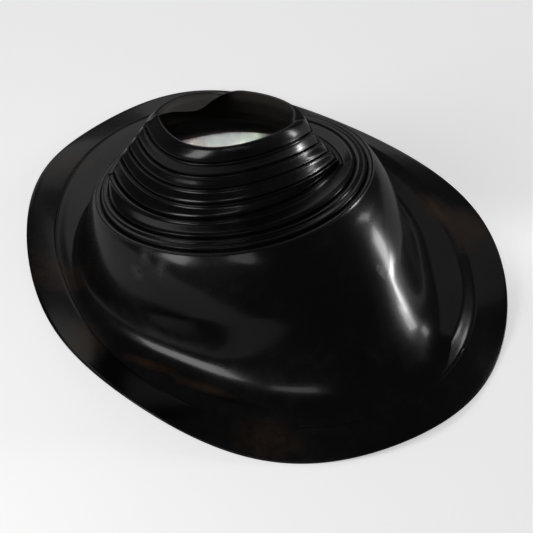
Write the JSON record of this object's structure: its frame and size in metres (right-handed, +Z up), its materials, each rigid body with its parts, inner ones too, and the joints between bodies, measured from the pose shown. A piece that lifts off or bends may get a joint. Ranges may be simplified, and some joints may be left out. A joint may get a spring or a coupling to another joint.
{
  "type": "pipe flashing boot",
  "caption": "Black rubber pipe flashing boot: wavy oval roof flange, bulging offset dome and a leaning stepped collar squashed at the top.",
  "frame": {"origin": "on the ground under the centre of the oval flange", "axes": "+X along the flange's long axis, downhill on the roof; +Z up away from the roof; the collar leans towards -X"},
  "size_m": [0.6899, 0.5591, 0.2236],
  "materials": {
    "rubber": "moulded black rubber, semi-gloss"
  },
  "bodies": {
    "root": {"flashing_boot": "rubber"}
  },
  "joints": []
}
